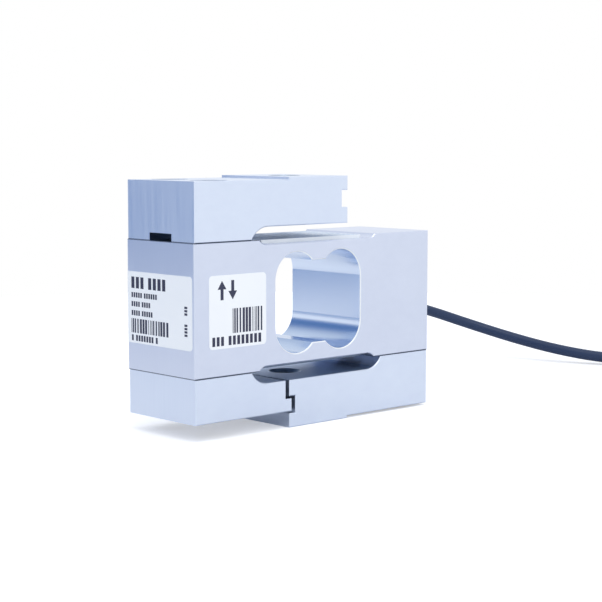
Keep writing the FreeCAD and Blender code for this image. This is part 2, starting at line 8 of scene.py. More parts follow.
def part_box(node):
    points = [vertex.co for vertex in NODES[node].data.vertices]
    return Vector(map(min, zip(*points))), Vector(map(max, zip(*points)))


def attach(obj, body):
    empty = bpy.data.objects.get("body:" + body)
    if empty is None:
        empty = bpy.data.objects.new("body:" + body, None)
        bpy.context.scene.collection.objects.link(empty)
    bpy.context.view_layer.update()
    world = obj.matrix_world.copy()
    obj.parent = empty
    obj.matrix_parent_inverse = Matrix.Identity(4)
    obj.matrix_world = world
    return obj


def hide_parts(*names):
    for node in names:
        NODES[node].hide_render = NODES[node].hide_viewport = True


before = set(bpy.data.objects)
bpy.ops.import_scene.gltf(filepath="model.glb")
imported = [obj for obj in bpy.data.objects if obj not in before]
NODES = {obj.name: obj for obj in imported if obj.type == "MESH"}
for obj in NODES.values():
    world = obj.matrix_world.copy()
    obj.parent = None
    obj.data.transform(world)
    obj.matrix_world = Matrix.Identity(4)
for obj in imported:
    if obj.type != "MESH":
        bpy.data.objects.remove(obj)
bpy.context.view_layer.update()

MM = 0.001

# ---------------------------------------------------------------- camera, as the photograph's
# metres, degrees, and millimetres for the lens and the sensor
CAMERA_PLACE = (-0.265475, -0.293076, 0.070957)
CAMERA_HEADING = 42.787
CAMERA_PITCH = -5.93
CAMERA_LENS = 92.77
SENSOR = 36.0

# ---------------------------------------------------------------- cable, part.py's route in metres
CABLE_RADIUS = 1.65 * MM
CABLE_ROUTE = [
    (0.0400, 0.0000, 0.0310),
    (0.0455, 0.0000, 0.0310),
    (0.0537, 0.0024, 0.0306),
    (0.0604, 0.0085, 0.0294),
    (0.0666, 0.0200, 0.0271),
    (0.0746, 0.0316, 0.0244),
    (0.0850, 0.0425, 0.0213),
    (0.0970, 0.0490, 0.0183),
    (0.1095, 0.0490, 0.0151),
    (0.1195, 0.0405, 0.0106),
    (0.1260, 0.0275, 0.0067),
    (0.1306, 0.0134, 0.0039),
    (0.1362, -0.0006, 0.00215),
    (0.1430, -0.0134, 0.00215),
]
COIL_MEAN_RADIUS = 19.8 * MM
COIL_ROWS = 5
COIL_LAYERS = 5
LEAD_IN = 15.0 * MM
TIE_THICKNESS = 0.5 * MM
# points in a turn and in a move to the next place, and the point of a turn where winding ends
TURN_STEPS = 18
MOVE_STEPS = 3
EXIT_STEP = 6
SLEEVE_RADIUS = 2.05 * MM
SLEEVE_START = -2.0 * MM
SLEEVE_LENGTH = 10.0 * MM
CORE_INSULATED = 12.0 * MM
TAIL_OFFSET = 16.5 * MM
# the tail's radius over that of its row, then its points as degrees round the coil and share of
# the way up, and the places of its last points along the sleeve
TAIL_SPREAD = 1.015
TAIL_CLIMB = [(30, 0.3), (52, 0.85)]
TAIL_END = (4.0 * MM, SLEEVE_START - 1.0 * MM, SLEEVE_START - 5.0 * MM)
LAYERS_TOP = TIE_THICKNESS + 2 * COIL_LAYERS * CABLE_RADIUS
SLEEVE_HEIGHT = LAYERS_TOP + SLEEVE_RADIUS
TIE_WIDTH = 3.5 * MM
TIE_SLACK = 0.25 * MM
TIE_CORNER = 1.4 * MM
TIE_CORNER_STEPS = 6
TIE_ROUNDING = 0.15 * MM
# length, width, height and place across the coil of the tie's head and its trimmed end
TIE_BLOCKS = (
    (4.4 * MM, 5.0 * MM, 2.6 * MM, 0.0),
    (4.0 * MM, TIE_WIDTH, 0.9 * MM, 3.6 * MM),
)

# ---------------------------------------------------------------- print and threads
INK_PROUD = 0.012 * MM
INK_SUNK = 0.01 * MM
# shares of a dash's height
DASH_GAP = 0.21
GROUP_GAP = 0.45
# half the shaft's width as a share of the arrow's, and the head's height as a share of its height
ARROW_HALF_SHAFT = 0.17
ARROW_HEAD = 0.45

ARM_RECESS = 3.1 * MM
THREAD_INSET = 1.2 * MM
THREAD_PITCH = 1.25 * MM
THREAD_OUTER = 3.42 * MM
THREAD_DEPTH = 0.45 * MM
THREAD_STEPS = 40
# half the ridge's width, in shares of the pitch
THREAD_FOOT = 0.42
THREAD_CREST = 0.1
THREAD_FADE_STEPS = 12
SCREW_EDGE = 0.25 * MM
WELD_WITHIN = 0.001 * MM

# ---------------------------------------------------------------- zones of the metal's finish
MID_HEIGHT = 31.0 * MM
BEAM_HALF_HEIGHT = 16.0 * MM
END_BEYOND = 38.0 * MM
# the least that a unit normal's part has to be for a face to look that way
LEVEL_FROM = 0.9
FRONT_FROM = 0.7
JOINT_HALF_WIDTH = 0.15 * MM
# how strongly the painted shade in the gaps between the parts darkens the metal
JOINT_SHADE_STRENGTH = 0.8
WINDOW_HALF_LENGTH = 15.5 * MM
WINDOW_HALF_HEIGHT = 13.5 * MM
POCKET_HALF_LENGTH = 17.5 * MM
# below this height the window's wall is painted darker, as shade
SHADE_BELOW = 23.8 * MM
SHADE_FADE = 1.0 * MM
RIM_TILT = 0.7
RIM_SPREAD = 0.1
RECESS_FLOOR = 11.9 * MM
RECESS_SPREAD = 1.0 * MM
CHANNEL_HEIGHT = 47.95 * MM
CHANNEL_HALF_HEIGHT = 0.97 * MM
CHANNEL_HALF_WIDTH = 4.25 * MM
BORE_ZONE = 4.3 * MM
BORE_CLEAR = 1.0 * MM

BORED_ROUGHNESS = 0.22
RECESS_ROUGHNESS = 0.42
# the window rim's painted highlight is made less metallic, so that it reads white
RIM_HIGHLIGHT_METALLIC = 0.2
# painted shade in the gaps between the parts
JOINT_SHADE_COLOUR = (0.05, 0.07, 0.11)
# painted shade on the recess floors
RECESS_SHADE_COLOUR = (0.45, 0.56, 0.75)
# painted shade in the channel
CHANNEL_SHADE_COLOUR = (0.24, 0.32, 0.45)
BORED_COLOUR = (0.74, 0.83, 0.98)
# painted shade on the window's wall low down
BORED_SHADE_COLOUR = (0.54, 0.65, 0.83)
# painted highlight on the window's rim
RIM_HIGHLIGHT_COLOUR = (0.95, 0.98, 1.0)
# painted shade in the arms' threaded bores
BORE_SHADE_COLOUR = (0.3, 0.37, 0.47)

# ---------------------------------------------------------------- light
FLOOR_RADIUS = 0.33
FLOOR_SIDES = 64
FLOOR_GLOW = 0.38
DIM_SIDE = (-0.68, 0.73, 0.0)
# what the way's part towards the side, and its rise, fade between
DIM_SIDE_FADE = (0.35, 0.9)
DIM_RISE_FADE = (0.85, 0.5)
STRIP_RISE = 0.14
STRIP_HALF = 0.1
STRIP_FADE = 0.04
STUDIO_COLOUR = (0.94, 0.96, 1.0)
DIM_COLOUR = (0.13, 0.25, 0.5)
WHITE = (1.0, 1.0, 1.0)
KEY_PLACE = (-0.15, -0.25, 0.9)
KEY_TARGET = (0, 0, 0.03)
KEY_SIZE = 0.6
KEY_POWER = 1.6
KEY_COLOUR = (1.0, 0.99, 0.97)


def make_camera():
    """The scene's camera, pitched down a little and with no shift."""
    data = bpy.data.cameras.new("camera")
    data.lens = CAMERA_LENS
    data.sensor_width = SENSOR
    camera = bpy.data.objects.new("camera", data)
    camera.location = CAMERA_PLACE
    tilt = math.radians(90 + CAMERA_PITCH)
    camera.rotation_euler = Euler((tilt, 0, -math.radians(CAMERA_HEADING)))
    bpy.context.scene.collection.objects.link(camera)
    bpy.context.scene.camera = camera


def add_piece(name, data):
    """A new object of the part, riding on its one body."""
    piece = bpy.data.objects.new(name, data)
    bpy.context.scene.collection.objects.link(piece)
    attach(piece, "root")
    return piece


def piece_of_form(name, form, material):
    """A new piece whose mesh is a finished bmesh form, with its faces turned outwards."""
    bmesh.ops.recalc_face_normals(form, faces=form.faces)
    mesh = bpy.data.meshes.new(name)
    form.to_mesh(mesh)
    form.free()
    mesh.materials.append(material)
    return add_piece(name, mesh)


def side_faces(form, before, after):
    """Quads from one ring of points to the next, all the way round."""
    for index in range(len(before)):
        following = (index + 1) % len(before)
        form.faces.new((before[index], before[following], after[following], after[index]))


# ---------------------------------------------------------------- cable
def coil_matrix():
    """The coil's own frame: its first turn starts in front, heading along +X."""
    before = Vector(CABLE_ROUTE[-2])
    end = Vector(CABLE_ROUTE[-1])
    way = (end - before).normalized()
    turn = math.atan2(way.y, way.x)
    outer = COIL_MEAN_RADIUS + (COIL_ROWS - 1) * CABLE_RADIUS
    tangent = end + way * LEAD_IN
    centre = tangent + Vector((-math.sin(turn), math.cos(turn), 0)) * outer
    return Matrix.Translation((centre.x, centre.y, 0)) @ Matrix.Rotation(turn, 4, "Z")


def coil_places():
    """The turns' places in the ring's section, in winding order, as (radius, height). The
    last layer stops one turn short of the inside."""
    pitch = 2 * CABLE_RADIUS
    middle = (COIL_ROWS - 1) / 2
    places = []
    for layer in range(COIL_LAYERS):
        height = TIE_THICKNESS + CABLE_RADIUS + layer * pitch
        radii = [COIL_MEAN_RADIUS + (row - middle) * pitch for row in range(COIL_ROWS)]
        if layer % 2 == 0:
            radii.reverse()
        places += [(radius, height) for radius in radii]
    return places[:-1]


def coil_points():
    """Control points of the coil in its own frame. Each turn keeps its place in the section,
    then moves to the next one in a few steps, and each layer does so that much earlier."""
    step = 2 * math.pi / TURN_STEPS
    grow = 1 / math.cos(step / 2)
    places = coil_places()
    course = []
    for number, (radius, height) in enumerate(places):
        layer, row = divmod(number, COIL_ROWS)
        if number == len(places) - 1:
            course += [(radius, height)] * ((EXIT_STEP - len(course)) % TURN_STEPS)
            break
        level_steps = TURN_STEPS - MOVE_STEPS
        if row == 0 and layer > 0:
            level_steps -= MOVE_STEPS
        course += [(radius, height)] * level_steps
        next_radius, next_height = places[number + 1]
        for part in range(MOVE_STEPS):
            share = (part + 0.5) / MOVE_STEPS
            course.append((radius + (next_radius - radius) * share,
                           height + (next_height - height) * share))
    points = []
    for index, (radius, height) in enumerate(course):
        angle = index * step - math.pi / 2
        reach = radius * grow
        points.append(Vector((reach * math.cos(angle), reach * math.sin(angle), height)))
    return points


def tail_points():
    """The cable's last stretch: it climbs onto the coil's top and runs into its sleeve."""
    radius = (COIL_MEAN_RADIUS - 2 * CABLE_RADIUS) * TAIL_SPREAD
    low = LAYERS_TOP - CABLE_RADIUS
    points = []
    for degrees, share in TAIL_CLIMB:
        angle = math.radians(degrees)
        height = low + (SLEEVE_HEIGHT - low) * share
        points.append(Vector((radius * math.cos(angle), radius * math.sin(angle), height)))
    points += [Vector((x, TAIL_OFFSET, SLEEVE_HEIGHT)) for x in TAIL_END]
    return points


def make_cable():
    """The whole cable on one line: the free stretch, the coil's turns and its end on top."""
    place = coil_matrix()
    wound = coil_points()[1:] + tail_points()
    points = [Vector(point) for point in CABLE_ROUTE] + [place @ point for point in wound]
    curve = bpy.data.curves.new("cable_line", "CURVE")
    curve.dimensions = "3D"
    curve.bevel_depth = 1.0  # so that a point's radius is the cable's, in metres
    curve.bevel_resolution = 6
    curve.resolution_u = 6
    curve.use_fill_caps = True
    spline = curve.splines.new("NURBS")
    spline.points.add(len(points) - 1)
    for control, point in zip(spline.points, points):
        control.co = (*point, 1)
        control.radius = CABLE_RADIUS
    spline.order_u = 3
    spline.use_endpoint_u = True
    cable = add_piece("cable_line", curve)
    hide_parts("cable", "cable_coil", "cable_tail")
    return cable


# ---------------------------------------------------------------- node materials
def new_material(name):
    """A node material with its tree and its Principled shader."""
    material = bpy.data.materials.new(name)
    material.use_nodes = True
    tree = material.node_tree
    return material, tree, tree.nodes["Principled BSDF"]


def add_node(tree, kind, inputs=None, **settings):
    """A node with settings, whose inputs are given as numbers or as other nodes' sockets."""
    made = tree.nodes.new(kind)
    for name, setting in settings.items():
        setattr(made, name, setting)
    for name, given in (inputs or {}).items():
        feed(tree, made, name, given)
    return made


def feed(tree, node, name, given):
    """Set an input, or link a socket to it."""
    if isinstance(given, bpy.types.NodeSocket):
        tree.links.new(given, node.inputs[name])
    else:
        node.inputs[name].default_value = given


def math_node(tree, operation, first, second=0.0):
    made = add_node(tree, "ShaderNodeMath", {0: first, 1: second}, operation=operation)
    return made.outputs[0]


def less(tree, first, second):
    return math_node(tree, "LESS_THAN", first, second)


def more(tree, first, second):
    return math_node(tree, "GREATER_THAN", first, second)


def times(tree, first, *factors):
    """The product of all the numbers, which for masks of 0 and 1 is where all of them hold."""
    for factor in factors:
        first = math_node(tree, "MULTIPLY", first, factor)
    return first


def away(tree, number, centre=0.0):
    """How far a number is from a centre, on either side."""
    return math_node(tree, "ABSOLUTE", math_node(tree, "SUBTRACT", number, centre))


def opposite(tree, mask):
    return math_node(tree, "SUBTRACT", 1.0, mask)


def split(tree, vector):
    """The outputs X, Y and Z of a vector."""
    return add_node(tree, "ShaderNodeSeparateXYZ", {0: vector}).outputs


def fade(tree, number, start, end, kind="LINEAR"):
    """From 0 to 1 as the number goes from start to end."""
    inputs = {"Value": number, "From Min": start, "From Max": end}
    return add_node(tree, "ShaderNodeMapRange", inputs, interpolation_type=kind).outputs["Result"]


def place_of(tree):
    """The point's place in the part's frame, in metres."""
    return add_node(tree, "ShaderNodeTexCoord").outputs["Object"]


def facing_of(tree):
    """The way that the surface faces."""
    return add_node(tree, "ShaderNodeNewGeometry").outputs["Normal"]


def stretched_noise(tree, scales, detail=3.0, roughness=0.6):
    """Noise from 0 to 1 with its own number of cells a metre along each axis."""
    inputs = {0: place_of(tree), 1: scales}
    scaled = add_node(tree, "ShaderNodeVectorMath", inputs, operation="MULTIPLY")
    inputs = {"Vector": scaled.outputs[0], "Scale": 1.0, "Detail": detail, "Roughness": roughness}
    return add_node(tree, "ShaderNodeTexNoise", inputs).outputs["Fac"]


def between(tree, factor, low, high):
    """A number that goes from low to high as the factor goes from 0.3 to 0.7, where noise is."""
    inputs = {"Value": factor, "From Min": 0.3, "From Max": 0.7, "To Min": low, "To Max": high}
    return add_node(tree, "ShaderNodeMapRange", inputs).outputs["Result"]


def mixed_colour(tree, factor, first, second):
    """The first colour where the factor is 0 and the second where it is 1. The node's colour
    inputs are 6 and 7, and its colour output is 2."""
    mix = add_node(tree, "ShaderNodeMix", data_type="RGBA")
    feed(tree, mix, 0, factor)
    for index, colour in ((6, first), (7, second)):
        is_socket = isinstance(colour, bpy.types.NodeSocket)
        feed(tree, mix, index, colour if is_socket else (*colour, 1))
    return mix.outputs[2]


def mixed_number(tree, factor, first, second):
    """The first number where the factor is 0 and the second where it is 1."""
    mix = add_node(tree, "ShaderNodeMix", data_type="FLOAT")
    for index, number in ((0, factor), (2, first), (3, second)):
        feed(tree, mix, index, number)
    return mix.outputs[0]


def bump(tree, shader, height, strength, distance):
    """Bump the shader's normal by a height, whose 1 stands for the distance."""
    inputs = {"Height": height, "Strength": strength, "Distance": distance}
    feed(tree, shader, "Normal", add_node(tree, "ShaderNodeBump", inputs).outputs["Normal"])


# ---------------------------------------------------------------- the part's materials
def metal_zones(tree):
    """Masks of the zones of the machined faces, by name, with the painted shade in the gaps between
    the parts at its strength, and a fade to the painted shade low in the window. Smooth are the
    bored window and the faces that look up near the middle, below the beam's top."""
    normal = split(tree, facing_of(tree))
    place = split(tree, place_of(tree))
    height = place["Z"]
    from_middle = away(tree, place["X"])
    from_mid_height = away(tree, height, MID_HEIGHT)
    is_level = more(tree, away(tree, normal["Z"]), LEVEL_FROM)
    faces_up = more(tree, normal["Z"], LEVEL_FROM)
    is_front = more(tree, away(tree, normal["Y"]), FRONT_FROM)
    is_across = more(tree, away(tree, normal["X"]), LEVEL_FROM)
    under_arm = less(tree, place["X"], -POCKET_HALF_LENGTH)
    in_window = times(tree, less(tree, from_middle, WINDOW_HALF_LENGTH),
                      less(tree, from_mid_height, WINDOW_HALF_HEIGHT))
    near_joint = less(tree, away(tree, from_mid_height, BEAM_HALF_HEIGHT), JOINT_HALF_WIDTH)
    # the sides on which the gaps between the parts get painted shade
    shaded_joint_side = math_node(tree, "MAXIMUM", under_arm, less(tree, height, MID_HEIGHT))
    near_channel = times(tree, less(tree, away(tree, height, CHANNEL_HEIGHT), CHANNEL_HALF_HEIGHT),
                         less(tree, away(tree, place["Y"]), CHANNEL_HALF_WIDTH))
    near_recess = less(tree, away(tree, height, RECESS_FLOOR), RECESS_SPREAD)
    from_axis = math_node(tree, "ADD", times(tree, place["X"], place["X"]),
                          times(tree, place["Y"], place["Y"]))
    past_beam = more(tree, from_mid_height, BEAM_HALF_HEIGHT + BORE_CLEAR)
    near_middle = times(tree, less(tree, from_middle, POCKET_HALF_LENGTH),
                        less(tree, height, MID_HEIGHT + BEAM_HALF_HEIGHT))
    bored = times(tree, in_window, opposite(tree, is_front))
    return {
        "front": is_front,
        "end": times(tree, is_across, more(tree, from_middle, END_BEYOND)),
        "joint": times(tree, near_joint, opposite(tree, is_level), JOINT_SHADE_STRENGTH, shaded_joint_side),
        "recess": times(tree, faces_up, near_recess),
        "channel": times(tree, near_channel, under_arm),
        "bored": bored,
        "deep": fade(tree, height, SHADE_BELOW, SHADE_BELOW - SHADE_FADE),
        "rim": times(tree, in_window,
                     less(tree, away(tree, away(tree, normal["Y"]), RIM_TILT), RIM_SPREAD)),
        "bore": times(tree, less(tree, from_axis, BORE_ZONE ** 2), past_beam,
                      opposite(tree, is_level)),
        "smooth": math_node(tree, "MAXIMUM", bored, times(tree, faces_up, near_middle)),
    }


def machined_metal(name, light, shade, roughness):
    """Milled and brushed metal: upright lines on the ends, a satin front and back, and tool
    marks across the width on every other face, with the colours and finishes of its zones. Of
    these, painted shade darkens the gaps between the parts, the recess floors, the channel, the
    bores and the window's low part, and a painted highlight lightens the window's rim."""
    material, tree, shader = new_material(name)
    zone = metal_zones(tree)
    along = stretched_noise(tree, (260.0, 260.0, 420.0))
    upright = stretched_noise(tree, (2600.0, 2600.0, 45.0))
    across = stretched_noise(tree, (2200.0, 35.0, 2200.0))
    lines = mixed_number(tree, zone["front"], across, along)
    lines = mixed_number(tree, zone["end"], lines, upright)
    clouds = stretched_noise(tree, (55.0, 55.0, 55.0), detail=4.0)
    grain = stretched_noise(tree, (5200.0, 5200.0, 5200.0), detail=1.0)
    tone = math_node(tree, "ADD", times(tree, lines, 0.5), times(tree, clouds, 0.5))
    colour = mixed_colour(tree, between(tree, tone, 0.0, 1.0), shade, light)
    bored_colour = mixed_colour(tree, zone["deep"], BORED_COLOUR, BORED_SHADE_COLOUR)
    for where, paint in (("joint", JOINT_SHADE_COLOUR), ("recess", RECESS_SHADE_COLOUR),
                         ("channel", CHANNEL_SHADE_COLOUR), ("bored", bored_colour),
                         ("rim", RIM_HIGHLIGHT_COLOUR), ("bore", BORE_SHADE_COLOUR)):
        colour = mixed_colour(tree, zone[where], colour, paint)
    feed(tree, shader, "Base Color", colour)
    feed(tree, shader, "Metallic", between(tree, zone["rim"], 1.0, RIM_HIGHLIGHT_METALLIC))
    finish = between(tree, lines, roughness - 0.05, roughness + 0.05)
    finish = mixed_number(tree, zone["smooth"], finish, BORED_ROUGHNESS)
    finish = mixed_number(tree, zone["recess"], finish, RECESS_ROUGHNESS)
    feed(tree, shader, "Roughness", finish)
    height = math_node(tree, "ADD", lines, times(tree, grain, 0.4))
    bump(tree, shader, height, strength=0.35, distance=0.006 * MM)
    return material


def sealing_compound(name):
    """Silvery, grainy sealing paste over the gauges, wiped smooth at its edges, which are painted
    pale as a highlight in the top pocket and painted dark as shade in the bottom one."""
    material, tree, shader = new_material(name)
    is_side = less(tree, away(tree, split(tree, facing_of(tree))["Z"]), 0.5)
    is_upper = more(tree, split(tree, place_of(tree))["Z"], MID_HEIGHT)
    grit = stretched_noise(tree, (1400.0, 1400.0, 1400.0), detail=4.0, roughness=0.7)
    clumps = stretched_noise(tree, (260.0, 260.0, 260.0), detail=3.0)
    grainy_share = between(tree, grit, 0.0, 1.0)
    grainy = mixed_colour(tree, grainy_share, (0.45, 0.58, 0.78), (0.9, 0.96, 1.0))
    # painted highlight on the top pocket's edges and painted shade on the bottom one's
    painted_edge_tone = mixed_colour(tree, is_upper, (0.16, 0.21, 0.3), (0.93, 0.97, 1.0))
    feed(tree, shader, "Base Color", mixed_colour(tree, is_side, grainy, painted_edge_tone))
    feed(tree, shader, "Metallic", between(tree, is_side, 0.4, 0.2))
    feed(tree, shader, "Roughness", between(tree, clumps, 0.35, 0.6))
    rough_height = math_node(tree, "ADD", grit, clumps)
    height = mixed_number(tree, is_side, rough_height, 0.0)
    bump(tree, shader, height, strength=1.0, distance=0.16 * MM)
    return material


def plastic(name, colour, second, roughness, cells=900.0, depth=0.02, gloss=0.5):
    """Moulded or extruded plastic or rubber with a fine matt grain: its cells a metre, and its
    depth in millimetres."""
    material, tree, shader = new_material(name)
    shader.inputs["Specular IOR Level"].default_value = gloss
    grain = stretched_noise(tree, (cells, cells, cells), detail=3.0)
    clouds = stretched_noise(tree, (60.0, 60.0, 60.0), detail=3.0)
    share = between(tree, clouds, 0.0, 1.0)
    feed(tree, shader, "Base Color", mixed_colour(tree, share, colour, second))
    feed(tree, shader, "Roughness", between(tree, grain, roughness - 0.06, roughness + 0.06))
    bump(tree, shader, grain, strength=0.3, distance=depth * MM)
    return material


def bare_tip(material, start, covered):
    """Bare tinned strands on a core's end, past its insulation."""
    tree = material.node_tree
    shader = tree.nodes["Principled BSDF"]
    colour = shader.inputs["Base Color"].links[0].from_socket
    inputs = {0: place_of(tree), 1: start}
    far = add_node(tree, "ShaderNodeVectorMath", inputs, operation="DISTANCE").outputs["Value"]
    bare = more(tree, far, covered)
    feed(tree, shader, "Base Color", mixed_colour(tree, bare, colour, TINNED_COLOUR))
    feed(tree, shader, "Metallic", bare)


def brushed_steel(name):
    """Turned and knurled stainless steel of the screws."""
    material, tree, shader = new_material(name)
    marks = stretched_noise(tree, (900.0, 900.0, 5200.0), detail=2.0)
    share = between(tree, marks, 0.0, 1.0)
    colour = mixed_colour(tree, share, (0.42, 0.44, 0.47), (0.6, 0.62, 0.65))
    feed(tree, shader, "Base Color", colour)
    shader.inputs["Metallic"].default_value = 1.0
    feed(tree, shader, "Roughness", between(tree, marks, 0.22, 0.36))
    bump(tree, shader, marks, strength=0.3, distance=0.01 * MM)
    return material


def printed_board(name):
    """Glass-fibre board with a faint weave."""
    material, tree, shader = new_material(name)
    inputs = {"Vector": place_of(tree), "Scale": 900.0, "Distortion": 0.4}
    weave = add_node(tree, "ShaderNodeTexWave", inputs, bands_direction="DIAGONAL").outputs["Fac"]
    colour = mixed_colour(tree, weave, (0.06, 0.18, 0.07), (0.09, 0.25, 0.1))
    feed(tree, shader, "Base Color", colour)
    feed(tree, shader, "Roughness", between(tree, weave, 0.35, 0.5))
    bump(tree, shader, weave, strength=0.2, distance=0.01 * MM)
    return material


TINNED_COLOUR = (0.78, 0.76, 0.72)
CORE_COLOURS = {
    "white": (0.8, 0.8, 0.78),
    "black": (0.015, 0.015, 0.017),
    "blue": (0.02, 0.09, 0.42),
    "red": (0.5, 0.02, 0.02),
    "green": (0.02, 0.27, 0.07),
    "grey": (0.23, 0.24, 0.25),
}
CORE_ROUGHNESS = 0.38
CORE_GAIN = 1.15
CORE_LIFT = 0.004
# light tone, shade and roughness
METALS = {
    "beam_aluminium": ((0.735, 0.785, 0.905), (0.69, 0.74, 0.865), 0.34),
    "arm_aluminium": ((0.765, 0.835, 0.955), (0.72, 0.79, 0.925), 0.33),
    # the threads' dark colours are painted shade inside the bore
    "thread_shade_metal": ((0.32, 0.38, 0.48), (0.26, 0.32, 0.42), 0.45),
}
# two tones and roughness, then what differs from plastic's cells, depth and gloss
PLASTICS = {
    "gauge_foil": ((0.5, 0.22, 0.05), (0.56, 0.27, 0.07), 0.35),
    "gauge_leads": ((0.3, 0.31, 0.34), (0.36, 0.37, 0.4), 0.5),
    "label_film": ((0.925, 0.955, 0.985), (0.94, 0.97, 0.99), 0.42, 700.0, 0.004),
    "label_ink": ((0.018, 0.022, 0.06), (0.03, 0.035, 0.08), 0.5, 1800.0, 0.004),
    "grommet_rubber": ((0.012, 0.016, 0.026), (0.018, 0.022, 0.032), 0.6),
    "cable_jacket": ((0.019, 0.038, 0.094), (0.023, 0.044, 0.104), 0.34, 1300.0, 0.012, 0.3),
    "tie_plastic": ((0.012, 0.012, 0.014), (0.02, 0.02, 0.023), 0.45),
    "sleeve_plastic": ((0.01, 0.01, 0.012), (0.018, 0.018, 0.02), 0.5),
}


def make_materials():
    """Every material by its slot name in the record, and that of the threads."""
    made = {name: machined_metal(name, *look) for name, look in METALS.items()}
    made.update((name, plastic(name, *look)) for name, look in PLASTICS.items())
    for name, make in (("screw_steel", brushed_steel), ("terminal_board", printed_board),
                       ("sealing_compound", sealing_compound)):
        made[name] = make(name)
    sleeve_end = Vector((SLEEVE_START - SLEEVE_LENGTH, TAIL_OFFSET, SLEEVE_HEIGHT))
    for core, colour in CORE_COLOURS.items():
        name = "core_" + core
        lighter = tuple(channel * CORE_GAIN + CORE_LIFT for channel in colour)
        made[name] = plastic(name, colour, lighter, CORE_ROUGHNESS)
        bare_tip(made[name], coil_matrix() @ sleeve_end, CORE_INSULATED)
    return made


def dress(materials):
    """Give every CAD node the material of its own slot."""
    for name, thing in NODES.items():
        for holder in thing.material_slots:
            wanted = holder.material.name.split(".")[0]
            if wanted not in materials:
                raise RuntimeError("no material for slot %s of %s" % (wanted, name))
            holder.material = materials[wanted]


# ---------------------------------------------------------------- floor and light
def make_floor():
    """A plain white floor that keeps the shadows, and reads as white where there are none."""
    mesh = bpy.data.meshes.new("floor")
    turns = [2 * math.pi * step / FLOOR_SIDES for step in range(FLOOR_SIDES)]
    corners = [(FLOOR_RADIUS * math.cos(turn), FLOOR_RADIUS * math.sin(turn), 0) for turn in turns]
    mesh.from_pydata(corners, [], [range(FLOOR_SIDES)])
    floor = bpy.data.objects.new("floor", mesh)
    bpy.context.scene.collection.objects.link(floor)
    material, tree, shader = new_material("floor_white")
    shade = stretched_noise(tree, (3.0, 3.0, 3.0))
    colour = mixed_colour(tree, shade, (0.84, 0.845, 0.86), (0.85, 0.855, 0.87))
    feed(tree, shader, "Base Color", colour)
    shader.inputs["Roughness"].default_value = 1.0
    shader.inputs["Specular IOR Level"].default_value = 0.0
    shader.inputs["Emission Color"].default_value = (*WHITE, 1.0)
    seen = add_node(tree, "ShaderNodeLightPath").outputs["Is Camera Ray"]
    feed(tree, shader, "Emission Strength", times(tree, seen, FLOOR_GLOW))
    mesh.materials.append(material)


def make_world():
    """A white studio, with one dimmer cool side that the left end faces reflect. A bright strip
    of lights crosses that side, just above the table."""
    world = bpy.data.worlds.new("studio")
    world.use_nodes = True
    tree = world.node_tree
    sky = tree.nodes["Background"]
    way = add_node(tree, "ShaderNodeTexCoord").outputs["Generated"]
    inputs = {0: way, 1: DIM_SIDE}
    side = add_node(tree, "ShaderNodeVectorMath", inputs, operation="DOT_PRODUCT").outputs["Value"]
    rise = split(tree, way)["Z"]
    sideways = fade(tree, side, *DIM_SIDE_FADE, "SMOOTHSTEP")
    low = fade(tree, rise, *DIM_RISE_FADE, "SMOOTHSTEP")
    off_strip = away(tree, rise, STRIP_RISE)
    beside = fade(tree, off_strip, STRIP_HALF, STRIP_HALF + STRIP_FADE, "SMOOTHSTEP")
    light = mixed_colour(tree, times(tree, sideways, low, beside), STUDIO_COLOUR, DIM_COLOUR)
    seen = add_node(tree, "ShaderNodeLightPath").outputs["Is Camera Ray"]
    feed(tree, sky, "Color", mixed_colour(tree, seen, light, WHITE))
    sky.inputs["Strength"].default_value = 1.0
    bpy.context.scene.world = world


def make_lamp(name, place, target, size, power, colour):
    """A round lamp that shines from a place to a target."""
    data = bpy.data.lights.new(name, "AREA")
    data.shape = "DISK"
    data.size = size
    data.energy = power
    data.color = colour
    lamp = bpy.data.objects.new(name, data)
    lamp.location = place
    way = Vector(target) - Vector(place)
    lamp.rotation_euler = way.to_track_quat("-Z", "Y").to_euler()
    bpy.context.scene.collection.objects.link(lamp)


# ---------------------------------------------------------------- print on the labels
def bar(left, top, length, height):
    """A plain rectangle of print, in millimetres across and down from the label's corner."""
    return [(left, top), (left + length, top), (left + length, top + height), (left, top + height)]


def dashes(left, top, height, groups, across=0.4):
    """A line of short blocks in groups, in the place of a line of print. Their width and
    their gaps are shares of the height."""
    shapes = []
    for group in groups:
        for _ in range(group):
            shapes.append(bar(left, top, height * across, height))
            left += height * (across + DASH_GAP)
        left += height * GROUP_GAP
    return shapes


def stripes(left, top, length, height, unit):
    """Upright stripes of one, two or three units, with gaps of one or two."""
    shapes = []
    right = left + length
    number = 0
    while left < right - 3 * unit:
        broad = unit * (1 + (number * number + number // 3) % 3)
        shapes.append(bar(left, top, broad, height))
        left += broad + unit * (1 + (number // 2) % 2)
        number += 1
    return shapes


def turned(shapes):
    """The same shapes with the line running up the label instead of across it."""
    return [[(down, -across) for across, down in shape] for shape in shapes]


def moved(shapes, across, down):
    return [[(point[0] + across, point[1] + down) for point in shape] for shape in shapes]


def arrow(left, top, length, height, downward):
    """A plain block arrow that points up or down."""
    middle = left + length / 2
    shaft = length * ARROW_HALF_SHAFT
    neck = top + height * ARROW_HEAD
    foot = top + height
    shape = [(middle, top), (left + length, neck), (middle + shaft, neck), (middle + shaft, foot),
             (middle - shaft, foot), (middle - shaft, neck), (left, neck)]
    if downward:
        shape = [(across, top + foot - down) for across, down in reversed(shape)]
    return shape


